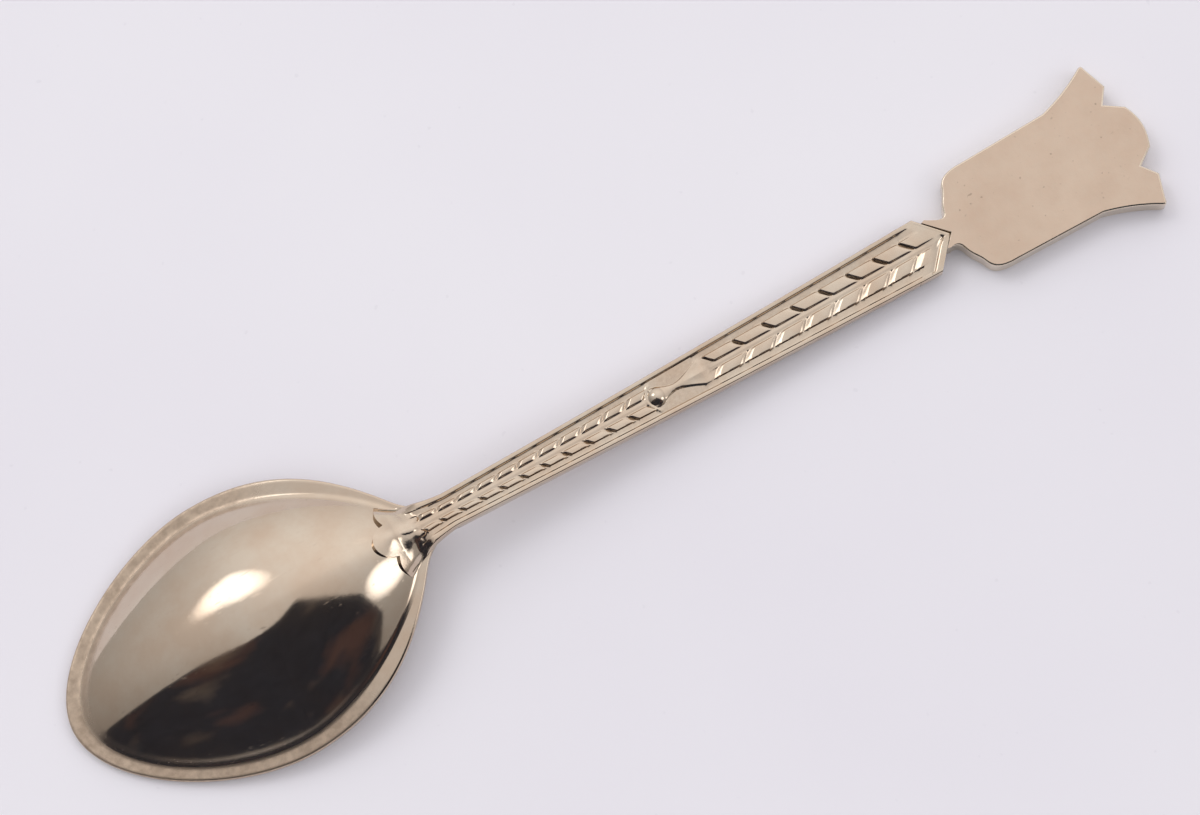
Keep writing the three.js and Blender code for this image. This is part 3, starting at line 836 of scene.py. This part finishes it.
NICKEL = rgb(212, 197, 178)
NICKEL_WARM = rgb(206, 185, 163)
NICKEL_DULL = rgb(184, 164, 144)
# brighter nickel painted onto the crest's rounded edges as a highlight
WORN_EDGE_AND_PAINTED_SHEEN = rgb(232, 220, 200)
SATIN = rgb(218, 196, 175)
SATIN_WARM = rgb(213, 188, 166)
TARNISH = rgb(92, 74, 58)


def scratches(look, turn, scale, threshold):
    """Thin sparse lines along one direction: 1 on a line and 0 elsewhere."""
    streak = look.noise(scale, 2.0, 0.5, look.stretched((0.03, 1.0, 1.0), turn))
    return look.span(streak, threshold, threshold + 0.03)


def polished_nickel():
    """The bowl: mirror-bright dome with a matt lip."""
    look = Look("polished_nickel")
    lip = look.attribute("lip")
    clouds = look.noise(170, 4.0, 0.6)
    mottle = look.noise(1300, 3.0, 0.6)
    grain = look.noise(9000, 2.0, 0.6)
    line = look.math("MAXIMUM", scratches(look, 24, 5200, 0.7), scratches(look, -52, 4300, 0.71))
    body = look.mix(look.span(clouds, 0.38, 0.66), NICKEL, NICKEL_WARM)
    lip_mottle = look.mix(look.span(mottle, 0.35, 0.65), NICKEL_WARM, NICKEL_DULL)
    colour = look.mix(look.math("MULTIPLY", lip, 0.85), body, lip_mottle)
    colour = look.mix(look.math("MULTIPLY", line, 0.18), colour, NICKEL_DULL)
    smooth_part = look.span(clouds, 0.35, 0.7, 0.05, 0.11)
    matt_part = look.span(mottle, 0.3, 0.7, 0.3, 0.46)
    roughness = look.math("ADD", smooth_part, look.math("MULTIPLY", lip, matt_part), clamp=True)
    roughness = look.math("ADD", roughness, look.math("MULTIPLY", line, 0.1), clamp=True)
    wave = look.bump(clouds, 0.03, 0.0004)
    rough_lip = look.bump(look.math("MULTIPLY", grain, lip), 0.25, 0.00003, wave)
    normal = look.bump(line, 0.12, 0.00001, rough_lip)
    look.set(base_color=colour, metallic=1.0, roughness=roughness, normal=normal)
    return look.material


def struck_nickel():
    """The handle: bright raised leaves, darker in the struck recesses."""
    look = Look("struck_nickel")
    recess = look.attribute("recess")
    clouds = look.noise(300, 4.0, 0.6)
    mottle = look.noise(2600, 3.0, 0.6)
    dirt = look.math("MULTIPLY", look.math("POWER", recess, 2.0), look.span(mottle, 0.25, 0.7, 0.04, 0.2))
    body = look.mix(look.span(clouds, 0.35, 0.65), NICKEL, NICKEL_WARM)
    colour = look.mix(dirt, body, TARNISH)
    roughness = look.math("ADD", look.span(mottle, 0.3, 0.7, 0.1, 0.18), look.math("MULTIPLY", recess, 0.05))
    normal = look.bump(mottle, 0.15, 0.00003, look.bump(clouds, 0.08, 0.0003))
    look.set(base_color=colour, metallic=1.0, roughness=roughness, normal=normal)
    return look.material


def satin_nickel():
    """The crest plate: tumbled satin metal with faint stains and pits, and rounded edges made smoother as
    polished wear, with their colour lifted as a painted highlight.
    """
    look = Look("satin_nickel")
    clouds = look.noise(210, 5.0, 0.62)
    blotch = look.noise(90, 3.0, 0.6)
    mottle = look.noise(1500, 4.0, 0.65)
    pit = look.span(look.noise(2400, 1.0, 0.4), 0.73, 0.8)
    edge = look.attribute("edge")
    body = look.mix(look.span(clouds, 0.3, 0.7), SATIN, SATIN_WARM)
    body = look.mix(look.math("MULTIPLY", look.span(mottle, 0.4, 0.7), 0.2), body, NICKEL)
    stain = look.math("MULTIPLY", look.span(blotch, 0.6, 0.74), 0.12)
    colour = look.mix(stain, body, TARNISH)
    colour = look.mix(look.math("MULTIPLY", pit, 0.3), colour, TARNISH)
    # Painted highlight: the rounded edges' colour is lifted towards a brighter nickel; their lower roughness
    # below stands for polished wear.
    colour = look.mix(look.math("MULTIPLY", edge, 0.8), colour, WORN_EDGE_AND_PAINTED_SHEEN)
    roughness = look.math("ADD", look.span(clouds, 0.3, 0.7, 0.3, 0.4), look.math("MULTIPLY", pit, 0.1))
    roughness = look.math("SUBTRACT", roughness, look.math("MULTIPLY", edge, 0.2))
    grain = look.bump(mottle, 0.2, 0.00004, look.bump(clouds, 0.12, 0.0004))
    normal = look.bump(look.math("MULTIPLY", pit, -1.0), 0.1, 0.00002, grain)
    look.set(base_color=colour, metallic=1.0, roughness=roughness, normal=normal)
    return look.material


def solder():
    look = Look("solder")
    mottle = look.noise(2200, 4.0, 0.6)
    colour = look.mix(look.span(mottle, 0.35, 0.65), rgb(150, 140, 122), rgb(112, 100, 84))
    roughness = look.span(mottle, 0.3, 0.7, 0.35, 0.55)
    normal = look.bump(mottle, 0.4, 0.00005)
    look.set(base_color=colour, metallic=1.0, roughness=roughness, normal=normal)
    return look.material


def enamel(name, light, dark):
    """Fired enamel: deep colour with slight clouding, specks and a glossy, faintly rippled skin."""
    look = Look(name)
    clouds = look.noise(500, 4.0, 0.6)
    speck = look.span(look.noise(5200, 1.0, 0.4), 0.72, 0.76)
    colour = look.mix(look.span(clouds, 0.35, 0.65), light, dark)
    colour = look.mix(look.math("MULTIPLY", speck, 0.5), colour, tuple(c * 0.4 for c in dark[:3]) + (1.0,))
    roughness = look.span(clouds, 0.3, 0.7, 0.1, 0.2)
    normal = look.bump(clouds, 0.15, 0.0002)
    look.set(base_color=colour, metallic=0.0, roughness=roughness, normal=normal)
    look.shader.inputs["Coat Weight"].default_value = 0.4
    look.shader.inputs["Coat Roughness"].default_value = 0.06
    return look.material


def table_top():
    look = Look("table_top")
    clouds = look.noise(14, 3.0, 0.5)
    colour = look.mix(look.span(clouds, 0.3, 0.7), rgb(238, 236, 241), rgb(233, 230, 237))
    fleck = look.span(look.noise(900, 1.0, 0.4), 0.76, 0.8)
    colour = look.mix(look.math("MULTIPLY", fleck, 0.12), colour, rgb(190, 186, 196))
    look.set(base_color=colour, roughness=0.75, normal=look.bump(look.noise(2500, 2.0), 0.05, 0.0001))
    look.shader.inputs["Specular IOR Level"].default_value = 0.2
    return look.material


def dark_cloth():
    """Dark cloth with a few brown and grey patches."""
    look = Look("dark_cloth")
    cloth = look.mix(look.noise(9, 3.0), rgb(50, 54, 66), rgb(30, 34, 46))
    brown = look.span(look.noise(1.5, 3.0), 0.56, 0.66)
    grey = look.span(look.noise(2.2, 3.0, 0.5, look.stretched((1, 1, 1), 70)), 0.6, 0.7)
    cloth = look.mix(look.math("MULTIPLY", brown, 0.6), cloth, rgb(104, 78, 70))
    cloth = look.mix(look.math("MULTIPLY", grey, 0.4), cloth, rgb(134, 124, 112))
    look.set(base_color=cloth, roughness=0.9, normal=look.bump(look.noise(60), 0.2, 0.01))
    return look.material


# ---------------------------------------------------------------- studio
VIEW_TILT = math.radians(12.0)     # of the camera's axis off the vertical
VIEW_TURN = math.radians(17.854)   # of the spoon on the table, as the camera sees it
VIEW_ROLL = math.radians(12.064)
LENS = 105.0                       # mm
SENSOR = 36.0                      # mm
VIEW_WIDTH = 114.59                # mm of table across the picture, at the picture's middle
AIM = np.array([58.387, 2.440])    # (station, y) of the table point at the picture's middle


def spoon_direction(vector):
    """A direction from the table's axes, as the camera stands to them, to the spoon's own."""
    c, s = math.cos(-VIEW_TURN), math.sin(-VIEW_TURN)
    x, y, z = vector
    return Vector((c * x - s * y, s * x + c * y, z))


def make_camera():
    data = bpy.data.cameras.new("camera")
    camera = new_object("camera", data)
    data.sensor_width = SENSOR
    data.lens = LENS
    data.dof.use_dof = False
    distance = VIEW_WIDTH * LENS / data.sensor_width * MM
    back = Vector((0, -math.sin(VIEW_TILT), math.cos(VIEW_TILT)))
    right = Vector((1, 0, 0))
    up = Vector((0, math.cos(VIEW_TILT), math.sin(VIEW_TILT)))
    turned_right = right * math.cos(VIEW_ROLL) - up * math.sin(VIEW_ROLL)
    turned_up = right * math.sin(VIEW_ROLL) + up * math.cos(VIEW_ROLL)
    axes = [spoon_direction(v) for v in (turned_right, turned_up, back)]
    matrix = Matrix(axes).transposed().to_4x4()
    matrix.translation = Vector(frame_point(AIM[0], AIM[1], 0)) + axes[2] * distance
    camera.matrix_world = matrix
    data.clip_start = 0.01
    data.clip_end = 20
    bpy.context.scene.camera = camera


BOWL_MIDDLE = Vector(frame_point(DOME_CENTRE[0], 0, 8))
FLOOR_HALF = 1.5                   # m, as the two that follow
FLOOR_GAP = 0.00002                # between the spoon and the table
FLAG_DISTANCE = 1.2
FLAG = [                           # (azimuth, elevation) corners of the dark shape that the dome mirrors
    (-175, 4), (-175, 30), (-174, 54), (-166, 70), (-140, 81), (-100, 87), (-66, 80), (-54, 65), (-49, 47),
    (-54, 26), (-68, 8), (-98, 4), (-135, 4),
]


def direction(azimuth, elevation):
    """A unit vector in the spoon's frame: azimuth from +X towards +Y, in degrees."""
    a, e = math.radians(azimuth), math.radians(elevation)
    return Vector((math.cos(a) * math.cos(e), math.sin(a) * math.cos(e), math.sin(e)))


def softbox(name, azimuth, elevation, distance, size, power):
    data = bpy.data.lights.new(name, "AREA")
    data.shape = "RECTANGLE"
    data.size = size
    data.size_y = size
    data.energy = power
    light = new_object(name, data)
    way = direction(azimuth, elevation)
    light.location = BOWL_MIDDLE + way * distance
    light.rotation_mode = "QUATERNION"
    light.rotation_quaternion = way.to_track_quat("Z", "Y")
    light.visible_glossy = False


def flag(name, corners, distance, material):
    """A dark sheet that shows only in the metal, with these (azimuth, elevation) corners."""
    points = [BOWL_MIDDLE + direction(a, e) * distance for a, e in corners]
    mesh = bpy.data.meshes.new(name)
    mesh.from_pydata([p[:] for p in points], [], [tuple(range(len(points)))])
    sheet = new_object(name, mesh)
    mesh.materials.append(material)
    sheet.visible_camera = False
    sheet.visible_diffuse = False
    sheet.visible_shadow = False


def make_floor(material):
    steps = 24
    side = np.linspace(-FLOOR_HALF, FLOOR_HALF, steps + 1)
    verts = [(x, y, 0.0) for y in side for x in side]
    faces = []
    for i in range(steps):
        for j in range(steps):
            a = i * (steps + 1) + j
            faces.append((a, a + 1, a + steps + 2, a + steps + 1))
    mesh = bpy.data.meshes.new("floor")
    mesh.from_pydata(verts, [], faces)
    mesh.materials.append(material)
    floor = new_object("floor", mesh)
    floor.location.z = CAD_LOW.z - FLOOR_GAP


WINDOW_SIDE = (55, 42)             # azimuth and elevation of the brighter side of the room
ROOM_DARK = 0.29                   # radiance of its darkest side
ROOM_GAIN = 0.82                   # what the brightest side adds to that
LAMPS = [                          # azimuth, elevation, inner and outer radius in degrees, radiance
    (111, 49, 4, 16, 2.6),
    (118, 46, 3, 13, 2.6),
    (-36, 37, 5, 15, 2.4),
    (48, 36, 3, 9, 1.15),
]


def make_world():
    """The room: a smooth sky, brightest on the window's side, with soft round lamps in it."""
    world = bpy.data.worlds.new("studio")
    bpy.context.scene.world = world
    world.use_nodes = True
    background = world.node_tree.nodes["Background"]
    nodes, links = world.node_tree.nodes, world.node_tree.links
    way = nodes.new("ShaderNodeTexCoord").outputs["Generated"]

    def math_node(operation, a, b):
        node = nodes.new("ShaderNodeMath")
        node.operation = operation
        links.new(a, node.inputs[0])
        if isinstance(b, float):
            node.inputs[1].default_value = b
        else:
            links.new(b, node.inputs[1])
        return node.outputs[0]

    def towards(azimuth, elevation, start, end, top, kind="SMOOTHSTEP"):
        dot = nodes.new("ShaderNodeVectorMath")
        dot.operation = "DOT_PRODUCT"
        dot.inputs[1].default_value = direction(azimuth, elevation)
        links.new(way, dot.inputs[0])
        ramp = nodes.new("ShaderNodeMapRange")
        ramp.interpolation_type = kind
        for key, number in (("From Min", start), ("From Max", end), ("To Min", 0.0), ("To Max", top)):
            ramp.inputs[key].default_value = number
        links.new(dot.outputs["Value"], ramp.inputs["Value"])
        return ramp.outputs[0]

    sky = math_node("POWER", towards(*WINDOW_SIDE, -0.5, 1.0, 1.0, "LINEAR"), 2.0)
    light = math_node("ADD", math_node("MULTIPLY", sky, ROOM_GAIN), ROOM_DARK)
    for azimuth, elevation, inner, outer, radiance in LAMPS:
        start, end = math.cos(math.radians(outer)), math.cos(math.radians(inner))
        light = math_node("MAXIMUM", light, towards(azimuth, elevation, start, end, radiance))
    links.new(light, background.inputs["Strength"])
    background.inputs["Color"].default_value = (1.0, 0.985, 1.0, 1)


make_camera()
make_world()
make_floor(table_top())
softbox("key", 114, 45, distance=0.8, size=0.6, power=1.3)
softbox("fill", -60, 62, distance=0.8, size=0.8, power=0.8)
flag("room", FLAG, FLAG_DISTANCE, dark_cloth())
scene_view = bpy.context.scene.view_settings
scene_view.view_transform = "Standard"
scene_view.look = "None"

# ---------------------------------------------------------------- the spoon
bowl = make_bowl(polished_nickel())
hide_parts("bowl")
handle = make_handle(struck_nickel())
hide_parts("handle")
crest = make_crest(satin_nickel())
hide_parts("crest_plate")
for piece in (bowl, handle, crest):
    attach(piece, "root")

solder_look = solder()
for node in ("heel_solder", "crest_solder"):
    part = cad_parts[node]
    part.data.materials.clear()
    part.data.materials.append(solder_look)

ENAMELS = {
    "green_enamel": enamel("green_enamel", rgb(46, 128, 74), rgb(30, 98, 58)),
    "white_enamel": enamel("white_enamel", rgb(238, 236, 228), rgb(214, 212, 206)),
    "blue_enamel": enamel("blue_enamel", rgb(46, 104, 178), rgb(28, 74, 148)),
    "yellow_enamel": enamel("yellow_enamel", rgb(232, 186, 60), rgb(214, 160, 40)),
    "red_enamel": enamel("red_enamel", rgb(176, 36, 46), rgb(138, 22, 34)),
}
FIELDS = [
    ("sky", sky_cell(ENAMEL_BED), "blue_enamel", "enamel_sky"),
    ("meadow", [meadow_cell(ENAMEL_BED)], "green_enamel", "enamel_meadow"),
    ("peaks", [peaks_cell(ENAMEL_BED)], "white_enamel", "enamel_peaks"),
    ("sun", [circle(SUN[0], SUN[1], SUN[2] - ENAMEL_BED)], "yellow_enamel", "enamel_sun"),
    ("crown_band", [band_cell(ENAMEL_BED)], "red_enamel", "enamel_crown_band"),
]
for name, (c, y) in GEMS.items():
    FIELDS.append((f"gem_{name}", [circle(c, y, GEM_RADIUS - ENAMEL_BED)], "red_enamel", f"crest_gem_{name}"))
for name, outlines, look_name, node in FIELDS:
    field = make_enamel(f"enamel_{name}_field", outlines, ENAMELS[look_name])
    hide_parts(node)
    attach(field, "root")
